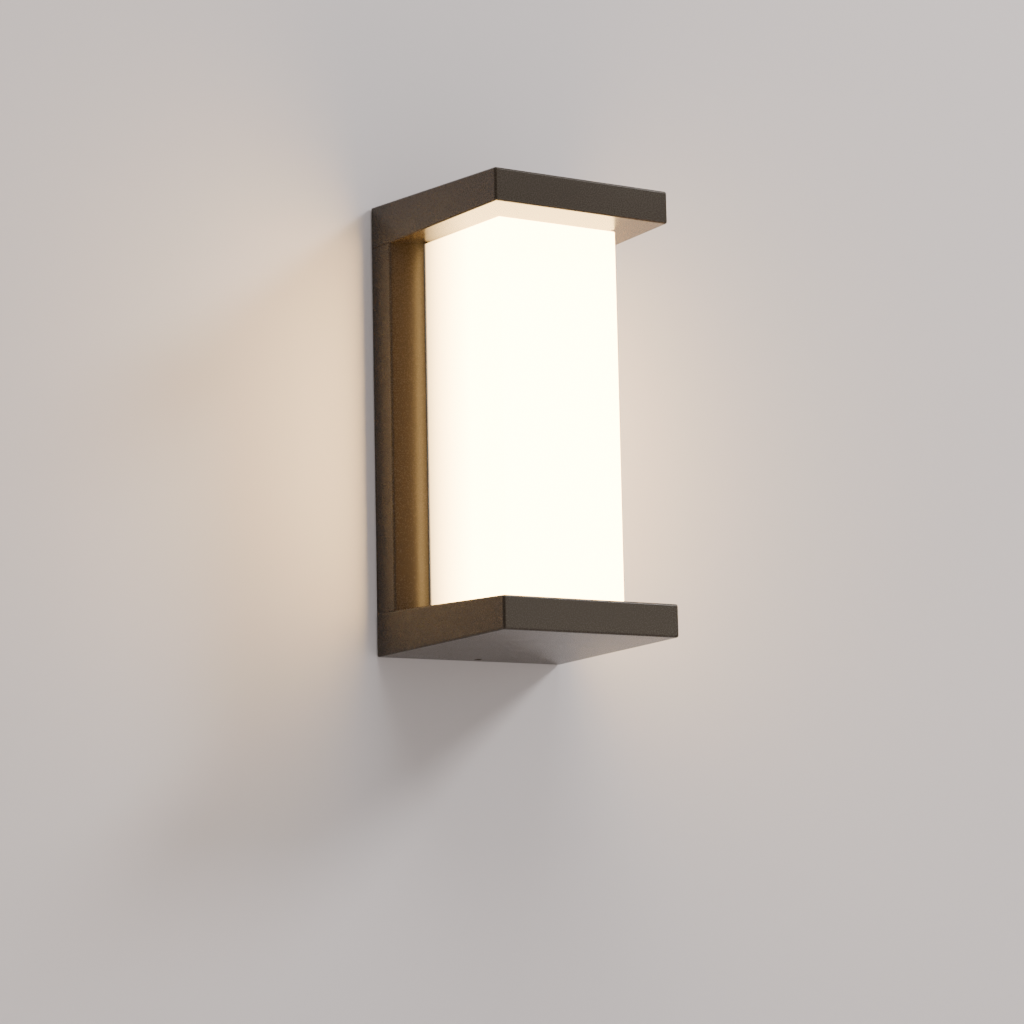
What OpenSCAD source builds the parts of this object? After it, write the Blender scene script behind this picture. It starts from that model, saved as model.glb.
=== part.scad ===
// Outdoor wall lantern: a cast C-shaped body, open at the front, with an opal diffuser between its arms.
// The wall is the plane y = 0, the lantern stands out along -Y and +Z is up.
// A depth, named "d" below, is a distance out from the wall, so its point is at y = -d.

/* [Overall] */
// Width of the body at the wall
body_w = 120; // [100:1:150]
// Height of the body at the wall
body_h = 250; // [240:1:320]
// Depth from the wall to the front of the arms
body_d = 120; // [100:1:160]

/* [Cast body] */
// How far each side leans in from the wall to the front
side_draft = 4.5; // [0:0.5:6]
// How far the top and the underside lean in from the wall to the front
end_draft = 3.5; // [0:0.5:6]
// Thickness of each arm at its front edge
arm_t = 18; // [16:0.5:26]
// How much each arm's inner face leans in towards the wall
arm_draft = 2.6; // [0:0.1:6]
// Depth of the spine's side faces
spine_d = 18.5; // [16:0.5:22]
// Depth of the raised seat that carries the diffuser
seat_d = 27; // [26:0.5:36]
// Width of the raised seat
seat_w = 87; // [80:1:94]
// Thickness of the cast walls
wall_t = 3.2; // [2.5:0.1:4]
// Thickness of the rim around the rear cover
rim_t = 1.8; // [1.5:0.1:2.2]
// Gap between the rim and the wall
rim_gap = 0.5; // [0.2:0.1:1]

/* [Diffuser] */
// Width of the diffuser at its front face
diffuser_w_front = 75.5; // [60:0.5:80]
// Width of the diffuser where it meets the seat
diffuser_w_back = 84.6; // [76:0.1:86]
// Distance of the diffuser's face behind the front of the arms
diffuser_inset = 24.5; // [15:0.5:40]
// Wall of the diffuser
diffuser_t = 2.2; // [1.5:0.1:3]
// Gap between the diffuser and each arm
diffuser_gap = 0.6; // [0.4:0.1:2]
// Thickness of the seal under the diffuser
diffuser_seal_t = 1; // [0.8:0.1:2]
// Width of the seal under the diffuser
diffuser_seal_w = 8.5; // [8:0.5:10]

/* [Light source] */
// Width of the LED board
board_w = 54; // [50:1:58]
// Distance from each end of the LED board to the end of the seat
board_end = 27; // [25:1:45]
// Thickness of the LED board
board_t = 1.6; // [1:0.1:2]
// Thickness of the heat-conducting pad under the LED board
pad_t = 0.5; // [0.3:0.1:1]
// Columns of LEDs
led_cols = 3; // [1:1:4]
// Distance between the rows of LEDs
led_pitch = 13; // [8:0.5:25]
// Size of an LED across, along and out
led_size = [3.5, 2.8, 0.8]; // [0.5:0.1:5]

/* [Rear cover] */
// Thickness of the rear cover
cover_t = 1.5; // [1:0.1:2]
// Depth of the rear cover's outer face
cover_d = 3; // [2.6:0.1:4]
// Gap between the rear cover and the rim
cover_gap = 0.3; // [0.2:0.1:0.6]
// Thickness of the rear cover's seal
cover_seal_t = 0.8; // [0.5:0.1:1.5]
// Width of the rear cover's seal
cover_seal_w = 4; // [3:0.5:6]
// Width of the foam strip against the wall
foam_w = 10; // [7:0.5:12]
// Radius of the cable hole in the rear cover
cable_hole_r = 8; // [6:0.5:10]

/* [Wall bracket] */
// Thickness of the bracket's steel
bracket_t = 2; // [1.5:0.1:2.3]
// Width of the bracket
bracket_w = 44; // [38:1:60]
// Width of the bracket's folded tabs
tab_w = 22; // [16:1:30]
// How far the tabs reach out from the wall
tab_reach = 12; // [11:0.5:14]
// Distance between the two wall screws
screw_span = 120; // [70:1:160]
// Half the width of a wall screw slot
slot_r = 2.6; // [2:0.1:3.5]
// Length of a wall screw slot
slot_l = 14; // [8:0.5:20]
// Radius of the bracket's cable opening
bracket_hole_r = 15; // [12:0.5:18]

/* [Locking screws] */
// Radius of the locking screws
lock_r = 2; // [1.5:0.1:3]
// Radial play of the locking screws in the body
lock_play = 0.05; // [0.02:0.01:0.1]
// Depth of the locking screws
lock_d = 8; // [7.5:0.5:9]
// Thickness of the body where the locking screws pass
lock_wall = 4; // [3:0.5:5]

/* [Driver] */
// Length of the driver case
driver_l = 70; // [60:1:76]
// Width of the driver case
driver_w = 40; // [34:1:40]
// Height of the driver case
driver_h = 14.5; // [12:0.5:14.5]
// Height of the driver case's lower end above the middle of the body
driver_z = 17; // [15:1:20]
// Wall of the driver case
driver_t = 1.4; // [1:0.1:2]

/* [Terminals] */
// Poles of the terminal block
poles = 3; // [2:1:3]
// Distance between the poles
pole_pitch = 10; // [8:0.5:10]
// Height of the terminal block's middle, below the middle of the body
terminal_z = -42; // [-44:1:-38]

/* [Screws] */
// Radius of the small screws' shanks
screw_r = 1.5; // [1.2:0.1:1.7]
// Radius of the small screws' heads
head_r = 2.8; // [2.4:0.1:3]
// Height of the small screws' heads
head_h = 1.8; // [1.4:0.1:2.2]
// Radial gap around a screw that passes through a piece
screw_gap = 0.3; // [0.2:0.05:0.5]

/* [Hidden] */
$fn = 48;

// The body's faces lean in with the depth d
function half_w(d) = body_w / 2 - side_draft * d / body_d;
function half_h(d) = body_h / 2 - end_draft * d / body_d;
function gap_z(d) = body_h / 2 - end_draft - arm_t - arm_draft * (1 - d / body_d);

seat_inner_d = seat_d - wall_t;
seat_end = gap_z(seat_d);
cover_seat_d = cover_d + cover_t + cover_seal_t;
far = body_h;
through = 0.5;

// Pockets behind the top and bottom edges, which take the bracket's tabs
pocket_play = 1;
pocket_d = tab_reach + pocket_play;
pocket_z = half_h(pocket_d) - lock_wall;
pocket_h = 7;
pocket_wall = 2;
tab_z = pocket_z - pocket_play;
lock_point_r = 1.3;
lock_point_gap = 0.3;
lock_sink = 0.6;
lock_socket_r = 1.15;
lock_socket_h = 2;

// Bosses that take the rear cover's screws
boss_r = 4;
boss_l = 11;
boss_x = half_w(cover_seat_d + boss_l) - wall_t - boss_r + 0.8;
boss_z = (half_h(cover_seat_d) + gap_z(cover_seat_d)) / 2;
cover_screws = [for (x = [-boss_x, boss_x]) for (z = [-boss_z, 0, boss_z]) [x, z]];
cover_screw_l = 8;

// The diffuser's back edge, its bosses and their screws
diffuser_d = seat_d + diffuser_seal_t;
diffuser_front_d = body_d - diffuser_inset;
diffuser_boss_r = 4;
diffuser_boss_l = 13;
diffuser_screw_x = diffuser_w_back / 2 - diffuser_t - diffuser_boss_r + 0.6;
diffuser_screw_z = gap_z(diffuser_d) - diffuser_gap - diffuser_t - diffuser_boss_r + 0.6;
diffuser_screws_at = [for (x = [-1, 1]) for (z = [-1, 1]) [x * diffuser_screw_x, z * diffuser_screw_z]];
pilot_r = 1.25;

// The LED board and what is on it
board_l = 2 * (seat_end - board_end);
board_d = seat_d + pad_t;
board_front_d = board_d + board_t;
board_screw_x = board_w / 2 - 3.5;
board_screws_at = [for (x = [-1, 1]) for (z = [-1, 0, 1]) [x * board_screw_x, z * (board_l / 2 - 5)]];
board_boss_h = 3;
sheet_t = 0.4;
sheet_margin = 2;
connector = [12, 9, 5];
connector_z = -board_l / 2 + 1;
led_room = board_l - 2 * (connector[1] + 5);
led_rows = floor(led_room / led_pitch) + 1;
led_col_pitch = (board_w - 16) / max(1, led_cols - 1);

// The hole that brings the LED leads through the seat
lead_hole_z = -(seat_end - (board_end + diffuser_gap + diffuser_seal_w) / 2);
lead_hole_r = 4;
grommet_lip = 1.5;
grommet_lip_t = 1;
grommet_bore_r = 2.4;
lead_r = 0.8;

// The driver stands off the seat on two bosses
driver_standoff = 2;
driver_d = seat_inner_d - driver_standoff;
driver_ear = 8;
driver_ear_w = 12;
driver_ear_t = 2.5;
driver_screw_z = [driver_z - driver_ear / 2, driver_z + driver_l + driver_ear / 2];
driver_lid_t = 1.4;
driver_board_t = 1.6;
driver_board_gap = 2.5;
standoff_r = 3.5;

// The terminal block, the cable clamp and the earth screw stand on the seat too
terminal_size = [poles * pole_pitch + 2, 18, 12];
terminal_foot = 2;
terminal_d = seat_inner_d - terminal_foot;
terminal_bore_r = 2.2;
terminal_top_z = terminal_z + terminal_size[1] / 2;
terminal_row_z = 5;
clamp_z = -17;
clamp_size = [28, 8, 3];
clamp_screw_x = 10;
clamp_foot = 7;
earth_at = [32, -60];
earth_foot = 4;

module across(x0, x1) {
    rotate([90, 0, 90]) translate([0, 0, x0]) linear_extrude(x1 - x0) children();
}

// A round bar along the depth, from depth d0 to depth d1
module bar(r, d0, d1, x = 0, z = 0) {
    translate([x, -d0, z]) rotate([90, 0, 0]) cylinder(r = r, h = d1 - d0);
}

// A block given by its middle in x and z, and by its two depths
module block(w, h, d0, d1, x = 0, z = 0) {
    translate([x - w / 2, -d1, z - h / 2]) cube([w, d1 - d0, h]);
}

// The body's envelope between two depths, moved in by "inset"
module envelope(inset, d0, d1) {
    w0 = half_w(d0) - inset;
    w1 = half_w(d1) - inset;
    h0 = half_h(d0) - inset;
    h1 = half_h(d1) - inset;
    intersection() {
        translate([0, 0, -far]) linear_extrude(2 * far)
            polygon([[-w0, -d0], [w0, -d0], [w1, -d1], [-w1, -d1]]);
        across(-far, far) polygon([[-d0, -h0], [-d0, h0], [-d1, h1], [-d1, -h1]]);
    }
}

// The spine seen from above: straight sides, then flanks that slope up to the seat
module spine(inset) {
    slope = atan((seat_d - spine_d) / (half_w(spine_d) - seat_w / 2));
    side_x = half_w(spine_d) - inset;
    side_d = spine_d - inset * (1 - sin(slope)) / cos(slope);
    top_x = seat_w / 2 - inset * tan(slope / 2);
    top_d = seat_d - inset;
    translate([0, 0, -far]) linear_extrude(2 * far)
        polygon([[-half_w(0), 1], [-side_x - side_draft * side_d / body_d, 0], [-side_x, -side_d],
            [-top_x, -top_d], [top_x, -top_d], [side_x, -side_d],
            [side_x + side_draft * side_d / body_d, 0], [half_w(0), 1]]);
}

// The C-shaped body between two depths, moved in by "inset": the skin at 0, the cavity at wall_t
module c_body(inset, d0, d1) {
    z0 = gap_z(0) + inset;
    z1 = gap_z(body_d) + inset;
    difference() {
        envelope(inset, d0, d1);
        difference() {
            across(-far, far) polygon([[0, -z0], [0, z0], [-body_d, z1], [-body_d - through, z1],
                [-body_d - through, -z1], [-body_d, -z1]]);
            spine(inset);
        }
    }
}

// The space that each bracket tab enters, at the top for side = 1 and at the bottom for side = -1
module tab_pocket(side) {
    block(tab_w + 2 * pocket_play, pocket_h, -through, pocket_d, 0, side * (pocket_z - pocket_h / 2));
}

module housing() {
    block_z = pocket_z - pocket_h - pocket_wall;
    color("#3d3128") difference() {
        union() {
            difference() {
                c_body(0, rim_gap, body_d);
                c_body(wall_t, cover_seat_d - through, body_d - wall_t);
                envelope(rim_t, 0, cover_seat_d);
            }
            for (p = cover_screws) bar(boss_r, cover_seat_d, cover_seat_d + boss_l, p[0], p[1]);
            for (side = [-1, 1])
                block(tab_w + 2 * (pocket_play + pocket_wall), pocket_h + pocket_wall + lock_wall - 1,
                    cover_seat_d, pocket_d + pocket_wall, 0, side * (block_z + pocket_z + lock_wall - 1) / 2);
            for (p = board_screws_at)
                bar(standoff_r, seat_inner_d - board_boss_h, seat_inner_d + through, p[0], p[1]);
            for (z = driver_screw_z)
                bar(standoff_r, driver_d, seat_inner_d + through, 0, z);
            for (x = [-1, 1])
                bar(standoff_r, seat_inner_d - clamp_foot, seat_inner_d + through, x * clamp_screw_x, clamp_z);
            bar(standoff_r, terminal_d, seat_inner_d + through, 0, terminal_z);
            bar(standoff_r + 0.5, seat_inner_d - earth_foot, seat_inner_d + through, earth_at[0], earth_at[1]);
        }
        for (side = [-1, 1]) {
            tab_pocket(side);
            translate([0, -lock_d, side * (pocket_z + far / 2)])
                cylinder(r = lock_r + lock_play, h = far + 2 * through, center = true);
        }
        for (p = cover_screws)
            bar(pilot_r, cover_seat_d - through, cover_seat_d + boss_l - 2, p[0], p[1]);
        for (p = diffuser_screws_at)
            bar(screw_r + screw_gap, seat_inner_d - through, seat_d + through, p[0], p[1]);
        for (p = board_screws_at)
            bar(pilot_r, seat_d - wall_t - board_boss_h + 1, seat_d + through, p[0], p[1]);
        for (z = driver_screw_z)
            bar(pilot_r, driver_d - through, seat_d - 1, 0, z);
        for (x = [-1, 1])
            bar(pilot_r, seat_inner_d - clamp_foot - through, seat_inner_d, x * clamp_screw_x, clamp_z);
        bar(pilot_r, terminal_d - through, seat_d - 1, 0, terminal_z);
        bar(pilot_r, seat_inner_d - earth_foot - through, seat_inner_d, earth_at[0], earth_at[1]);
        bar(lead_hole_r, seat_inner_d - through, seat_d + through, 0, lead_hole_z);
    }
}

// The diffuser's outline between two depths, moved in by "inset"
module diffuser_block(inset, d0, d1) {
    lean = (diffuser_w_back - diffuser_w_front) / 2 / (diffuser_front_d - diffuser_d);
    w0 = diffuser_w_back / 2 - lean * (d0 - diffuser_d) - inset;
    w1 = diffuser_w_back / 2 - lean * (d1 - diffuser_d) - inset;
    h0 = gap_z(d0) - diffuser_gap - inset;
    h1 = gap_z(d1) - diffuser_gap - inset;
    intersection() {
        translate([0, 0, -far]) linear_extrude(2 * far)
            polygon([[-w0, -d0], [w0, -d0], [w1, -d1], [-w1, -d1]]);
        across(-far, far) polygon([[-d0, -h0], [-d0, h0], [-d1, h1], [-d1, -h1]]);
    }
}

module diffuser() {
    color("#fff3df") difference() {
        union() {
            difference() {
                diffuser_block(0, diffuser_d, diffuser_front_d);
                diffuser_block(diffuser_t, diffuser_d - through, diffuser_front_d - diffuser_t);
            }
            for (p = diffuser_screws_at)
                bar(diffuser_boss_r, diffuser_d, diffuser_d + diffuser_boss_l, p[0], p[1]);
        }
        for (p = diffuser_screws_at)
            bar(pilot_r, diffuser_d - through, diffuser_d + diffuser_boss_l - 2, p[0], p[1]);
    }
}

module diffuser_seal() {
    color("#d9d4cc") difference() {
        diffuser_block(0, seat_d, diffuser_d);
        diffuser_block(diffuser_seal_w, seat_d - through, diffuser_d + through);
        for (p = diffuser_screws_at)
            bar(screw_r + screw_gap, seat_d - through, diffuser_d + through, p[0], p[1]);
    }
}

// A pan-head screw with a cross recess; "turn" points its shank out from the wall (1) or to it (-1)
module pan_screw(x, z, d, l, turn = 1) {
    translate([x, -d, z]) rotate([turn * 90, 0, 0]) difference() {
        union() {
            translate([0, 0, -head_h]) cylinder(r = head_r, h = head_h);
            cylinder(r = screw_r - 0.25, h = l);
        }
        for (a = [0, 90]) rotate(a) translate([-1.5, -0.3, -head_h - 1]) cube([3, 0.6, 2]);
    }
}

module diffuser_screws() {
    color("#b8b8b8") for (p = diffuser_screws_at)
        pan_screw(p[0], p[1], seat_inner_d, wall_t + diffuser_seal_t + diffuser_boss_l - 4);
}

module reflector_sheet() {
    sheet_w = diffuser_w_back - 2 * diffuser_seal_w - 1;
    sheet_h = 2 * (gap_z(seat_d) - diffuser_gap - diffuser_seal_w) - 1;
    color("#fafafa") difference() {
        block(sheet_w, sheet_h, seat_d, seat_d + sheet_t);
        block(board_w + sheet_margin, board_l + sheet_margin, seat_d - through, seat_d + 1);
        bar(lead_hole_r + grommet_lip + 0.5, seat_d - through, seat_d + 1, 0, lead_hole_z);
    }
}

module thermal_pad() {
    color("#8f9499") difference() {
        block(board_w, board_l, seat_d, board_d);
        for (p = board_screws_at) bar(screw_r + screw_gap, seat_d - through, board_d + through, p[0], p[1]);
    }
}

module led_board() {
    color("#f4f4f0") difference() {
        block(board_w, board_l, board_d, board_front_d);
        for (p = board_screws_at)
            bar(screw_r + screw_gap, board_d - through, board_front_d + through, p[0], p[1]);
    }
}

module leds() {
    color("#ffd873") for (row = [0 : led_rows - 1]) for (col = [0 : led_cols - 1])
        block(led_size[0], led_size[1], board_front_d, board_front_d + led_size[2],
            (col - (led_cols - 1) / 2) * led_col_pitch, (row - (led_rows - 1) / 2) * led_pitch);
}

module led_board_screws() {
    color("#b8b8b8") for (p = board_screws_at)
        pan_screw(p[0], p[1], board_front_d, board_t + pad_t + wall_t + board_boss_h - 1.5, -1);
}

module led_connector() {
    color("#f0efe8") difference() {
        block(connector[0], connector[1], board_front_d, board_front_d + connector[2],
            0, connector_z + connector[1] / 2);
        for (x = [-1, 1]) translate([x * connector[0] / 4, -board_front_d - connector[2] / 2, connector_z - 1])
            cylinder(r = lead_r + 0.2, h = 5);
    }
}

// A lead: a round tube swept along a smooth curve through the given points
function curve_point(p0, p1, p2, p3, t) =
    0.5 * (2 * p1 + (p2 - p0) * t + (2 * p0 - 5 * p1 + 4 * p2 - p3) * t * t
        + (3 * p1 - p0 - 3 * p2 + p3) * t * t * t);
function smooth(p, steps) = [for (i = [0 : len(p) - 2]) for (s = [0 : steps - 1])
    curve_point(p[max(i - 1, 0)], p[i], p[i + 1], p[min(i + 2, len(p) - 1)], s / steps), p[len(p) - 1]];
function unit(v) = v / norm(v);
function heading(p, i) = unit(p[min(i + 1, len(p) - 1)] - p[max(i - 1, 0)]);

module lead(points, r) {
    sides = 8;
    p = smooth(points, 4);
    n = len(p);
    rings = [for (i = [0 : n - 1]) let (t = heading(p, i), u = unit(cross(t, [1, 0, 0])), v = cross(t, u))
        for (k = [0 : sides - 1]) p[i] + r * (cos(360 * k / sides) * u + sin(360 * k / sides) * v)];
    polyhedron(rings, concat(
        [[for (k = [0 : sides - 1]) k]],
        [for (i = [0 : n - 2]) for (k = [0 : sides - 1]) let (a = i * sides + k, b = i * sides + (k + 1) % sides)
            [b, a, a + sides, b + sides]],
        [[for (k = [sides - 1 : -1 : 0]) (n - 1) * sides + k]]));
}

module led_leads() {
    d = driver_d - 2;
    out_d = board_front_d + connector[2] / 2;
    bore_x = grommet_bore_r / 2;
    for (i = [0, 1]) {
        side = 1 - 2 * i;
        color(i == 0 ? "#b3221c" : "#1c1c1c")
            lead([[11 + 3 * i, -d, driver_z], [12 + 3 * i, -d + i, driver_z - 6],
                [38 + 2.5 * i, -d + 2 * i, -4], [40 + 2.5 * i, -d + 2 * i, -25],
                [40 + 2.5 * i, -d + 2 * i, lead_hole_z + 22], [21 + 2 * i, -d + 2 * i, lead_hole_z + 8],
                [5, -d + 2 * i, lead_hole_z + 1 - i],
                [1.6 - 2 * i, -d - 1.6 + 2.2 * i, lead_hole_z + 0.4 * (1 - i)],
                [side * bore_x, -seat_d + 2, lead_hole_z], [side * bore_x, -out_d + 1.5, lead_hole_z + 1],
                [side * connector[0] / 4, -out_d, lead_hole_z + 6],
                [side * connector[0] / 4, -out_d, connector_z]], lead_r);
    }
}

module lead_grommet() {
    color("#202020") difference() {
        union() {
            bar(lead_hole_r, seat_inner_d - grommet_lip_t, seat_d + grommet_lip_t, 0, lead_hole_z);
            bar(lead_hole_r + grommet_lip, seat_inner_d - grommet_lip_t, seat_inner_d, 0, lead_hole_z);
            bar(lead_hole_r + grommet_lip, seat_d, seat_d + grommet_lip_t, 0, lead_hole_z);
        }
        bar(grommet_bore_r, seat_inner_d - 2, seat_d + 2, 0, lead_hole_z);
    }
}

driver_mid_z = driver_z + driver_l / 2;
driver_back_d = driver_d - driver_h;

module driver_case() {
    color("#e9e9e6") difference() {
        union() {
            block(driver_w, driver_l, driver_back_d + driver_lid_t, driver_d, 0, driver_mid_z);
            block(driver_ear_w, driver_l + 2 * driver_ear, driver_d - driver_ear_t, driver_d, 0, driver_mid_z);
        }
        block(driver_w - 2 * driver_t, driver_l - 2 * driver_t, driver_back_d, driver_d - driver_t, 0, driver_mid_z);
        for (z = driver_screw_z)
            bar(screw_r + screw_gap, driver_d - driver_ear_t - 1, driver_d + 1, 0, z);
        for (i = [0, 1]) translate([11 + 3 * i, -driver_d + 2, driver_z - 1]) cylinder(r = lead_r + 0.1, h = 3);
        for (i = [0, 1]) translate([-11 - 3 * i, -driver_d + 2, driver_z - 1]) cylinder(r = lead_r + 0.1, h = 3);
    }
}

module driver_lid() {
    lip_gap = 0.15;
    color("#dededa") difference() {
        union() {
            block(driver_w, driver_l, driver_back_d, driver_back_d + driver_lid_t, 0, driver_mid_z);
            block(driver_w - 2 * (driver_t + lip_gap), driver_l - 2 * (driver_t + lip_gap),
                driver_back_d, driver_back_d + driver_lid_t + 1.5, 0, driver_mid_z);
        }
        block(driver_w - 2 * driver_t - 2.4, driver_l - 2 * driver_t - 2.4,
            driver_back_d + driver_lid_t, driver_back_d + driver_lid_t + 2, 0, driver_mid_z);
    }
}

driver_board_d = driver_d - driver_t - driver_board_gap;

module driver_board() {
    color("#2f6b3a") difference() {
        block(driver_w - 2 * driver_t - 1, driver_l - 2 * driver_t - 1,
            driver_board_d - driver_board_t, driver_board_d, 0, driver_mid_z);
        for (x = [-1, 1]) for (z = [-1, 1])
            bar(1, driver_board_d - 3, driver_board_d + 1, x * (driver_w / 2 - 4.5), driver_mid_z + z * (driver_l / 2 - 4.5));
    }
}

part_d = driver_board_d - driver_board_t;
part_room = part_d - driver_back_d - driver_lid_t - 0.4;

module driver_transformer() {
    color("#c9b45a") difference() {
        union() {
            block(16, 18, part_d - min(6.5, part_room), part_d, -2, driver_mid_z + 4);
            block(20, 10, part_d - min(5, part_room), part_d, -2, driver_mid_z + 4);
        }
        for (x = [-6.5, 2.5]) block(1.2, 12, part_d - 9, part_d - min(6.5, part_room) + 1, x, driver_mid_z + 4);
    }
}

module driver_capacitors() {
    color("#26262e") {
        translate([10, -part_d + 3.2, driver_z + 8]) cylinder(r = min(3.2, part_room / 2), h = 14);
        translate([-11, -part_d + 2.7, driver_z + driver_l - 20]) cylinder(r = min(2.7, part_room / 2), h = 12);
        block(4, 10, part_d - min(6, part_room), part_d, -13, driver_z + 13);
    }
}

module driver_screws() {
    color("#b8b8b8") for (z = driver_screw_z)
        pan_screw(0, z, driver_d - driver_ear_t, driver_ear_t + driver_standoff + wall_t - 1.6);
}

module terminal_block() {
    w = terminal_size[0];
    h = terminal_size[1];
    color("#f2f2ee") difference() {
        union() {
            block(w, h, terminal_d - 5, terminal_d, 0, terminal_z);
            for (i = [0 : poles - 1])
                block(pole_pitch - 1.5, h, terminal_d - terminal_size[2], terminal_d,
                    (i - (poles - 1) / 2) * pole_pitch, terminal_z);
        }
        for (i = [0 : poles - 1]) {
            x = (i - (poles - 1) / 2) * pole_pitch;
            translate([x, -terminal_d + 6.5, terminal_z - h]) cylinder(r = terminal_bore_r, h = 2 * h);
            for (s = [-1, 1])
                bar(terminal_bore_r, terminal_d - terminal_size[2] - 1, terminal_d - 6.5, x, terminal_z + s * terminal_row_z);
        }
        bar(head_r + 0.4, terminal_d - terminal_size[2] - 1, terminal_d - 2, 0, terminal_z);
        bar(screw_r + screw_gap, terminal_d - 4, terminal_d + 1, 0, terminal_z);
    }
}

module terminal_screws() {
    color("#c8a14a") for (i = [0 : poles - 1]) for (s = [-1, 1])
        translate([(i - (poles - 1) / 2) * pole_pitch, -terminal_d + 10.2, terminal_z + s * terminal_row_z])
            rotate([90, 0, 0]) difference() {
                cylinder(r = terminal_bore_r - 0.1, h = 2.7);
                translate([-3, -0.35, -1]) cube([6, 0.7, 1.9]);
            }
}

module terminal_block_screw() {
    color("#b8b8b8") pan_screw(0, terminal_z, terminal_d - 2, 2 + terminal_foot + wall_t - 1.6);
}

module mains_leads() {
    lead_d = terminal_d - 6.5;
    for (i = [0, 1]) color(i == 0 ? "#6b3f1e" : "#2450a8")
        lead([[(i - 1) * pole_pitch, -lead_d, terminal_z + 2], [(i - 1) * pole_pitch, -lead_d, terminal_top_z + 2],
            [-19 - 3 * (1 - i), -lead_d - 1, terminal_top_z + 12], [-21 - 3 * (1 - i), -lead_d - 2, -6],
            [-16 - 3 * (1 - i), -driver_d + 2, 5], [-11 - 3 * (1 - i), -driver_d + 2, driver_z - 6],
            [-11 - 3 * (1 - i), -driver_d + 2, driver_z]], lead_r);
}

module earth_lead() {
    lead_d = terminal_d - 6.5;
    tag_d = seat_inner_d - earth_foot;
    color("#5f9a2c") {
        lead([[pole_pitch, -lead_d, terminal_z - 2], [pole_pitch, -lead_d, terminal_z - 12],
            [pole_pitch + 5, -lead_d, terminal_z - 19], [pole_pitch + 11, -tag_d + 1.6, earth_at[1] - 9],
            [earth_at[0] - 5, -tag_d + 1.2, earth_at[1] - 7], [earth_at[0] - 1.5, -tag_d + 0.9, earth_at[1] - 4]], lead_r);
        difference() {
            union() {
                bar(3.8, tag_d - 0.8, tag_d, earth_at[0], earth_at[1]);
                block(3, 6, tag_d - 0.8, tag_d, earth_at[0] - 0.5, earth_at[1] - 5);
            }
            bar(screw_r + 0.1, tag_d - 2, tag_d + 1, earth_at[0], earth_at[1]);
        }
    }
}

module earth_screw() {
    tag_d = seat_inner_d - earth_foot;
    color("#c8a14a") pan_screw(earth_at[0], earth_at[1], tag_d - 0.8, earth_foot);
}

module cable_clamp() {
    foot_d = seat_inner_d - clamp_foot;
    color("#f2f2ee") difference() {
        block(clamp_size[0], clamp_size[1], foot_d - clamp_size[2], foot_d, 0, clamp_z);
        translate([0, -foot_d - 2.5, clamp_z - clamp_size[1]]) cylinder(r = 4, h = 2 * clamp_size[1]);
        for (x = [-1, 1])
            bar(screw_r + screw_gap, foot_d - clamp_size[2] - 1, foot_d + 1, x * clamp_screw_x, clamp_z);
    }
}

module clamp_screws() {
    color("#b8b8b8") for (x = [-1, 1])
        pan_screw(x * clamp_screw_x, clamp_z, seat_inner_d - clamp_foot - clamp_size[2], clamp_size[2] + clamp_foot - 1);
}

module cable_grommet() {
    color("#1d1d1d") difference() {
        union() {
            bar(cable_hole_r, cover_d - 1.2, cover_d + cover_t + 1.5);
            bar(cable_hole_r + 2, cover_d - 1.2, cover_d);
            bar(cable_hole_r + 2, cover_d + cover_t, cover_d + cover_t + 1.5);
        }
        bar(cable_hole_r - 1.8, cover_d - 2, cover_d + 1);
        bar(3.2, cover_d, cover_d + cover_t + 2);
    }
}

module rear_cover() {
    color("#4a4038") difference() {
        envelope(rim_t + cover_gap, cover_d, cover_d + cover_t);
        for (p = cover_screws)
            bar(screw_r + screw_gap, cover_d - through, cover_d + cover_t + through, p[0], p[1]);
        bar(cable_hole_r, cover_d - through, cover_d + cover_t + through);
        for (side = [-1, 1]) tab_pocket(side);
    }
}

module rear_cover_seal() {
    color("#2a2a2a") difference() {
        envelope(rim_t + cover_gap, cover_d + cover_t, cover_seat_d);
        envelope(rim_t + cover_seal_w, cover_d + cover_t - through, cover_seat_d + through);
        for (p = cover_screws)
            bar(screw_r + screw_gap, cover_d, cover_seat_d + through, p[0], p[1]);
        for (side = [-1, 1]) tab_pocket(side);
    }
}

module rear_cover_screws() {
    color("#b8b8b8") for (p = cover_screws) pan_screw(p[0], p[1], cover_d, cover_screw_l);
}

module wall_foam() {
    color("#3a3a3a") difference() {
        envelope(rim_t + cover_gap, 0, cover_d);
        envelope(rim_t + foam_w, -through, cover_d + through);
        block(bracket_w + 2, 2 * far, -through, cover_d + through);
        for (p = cover_screws) bar(head_r + 0.7, -through, cover_d + through, p[0], p[1]);
    }
}

// A slot along Z through the bracket plate
module wall_slot(z) {
    run = slot_l / 2 - slot_r;
    for (s = [-1, 1]) bar(slot_r, -1, bracket_t + 1, 0, z + s * run);
    block(2 * slot_r, 2 * run, -1, bracket_t + 1, 0, z);
}

module wall_bracket() {
    shoulder_z = tab_z - 9;
    slot_w = 2 * (lock_point_r + lock_point_gap);
    color("#9a9c9e") difference() {
        union() {
            block(bracket_w, 2 * shoulder_z, 0, bracket_t);
            block(tab_w, 2 * tab_z, 0, bracket_t);
            for (side = [-1, 1])
                block(tab_w, bracket_t, 0, tab_reach, 0, side * (tab_z - bracket_t / 2));
        }
        bar(bracket_hole_r, -1, bracket_t + 1);
        for (s = [-1, 1]) {
            wall_slot(s * screw_span / 2);
            translate([0, -lock_d, s * tab_z]) cylinder(r = slot_w / 2, h = 3 * bracket_t, center = true);
            block(slot_w, 3 * bracket_t, lock_d, tab_reach + 1, 0, s * tab_z);
        }
    }
}

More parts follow.
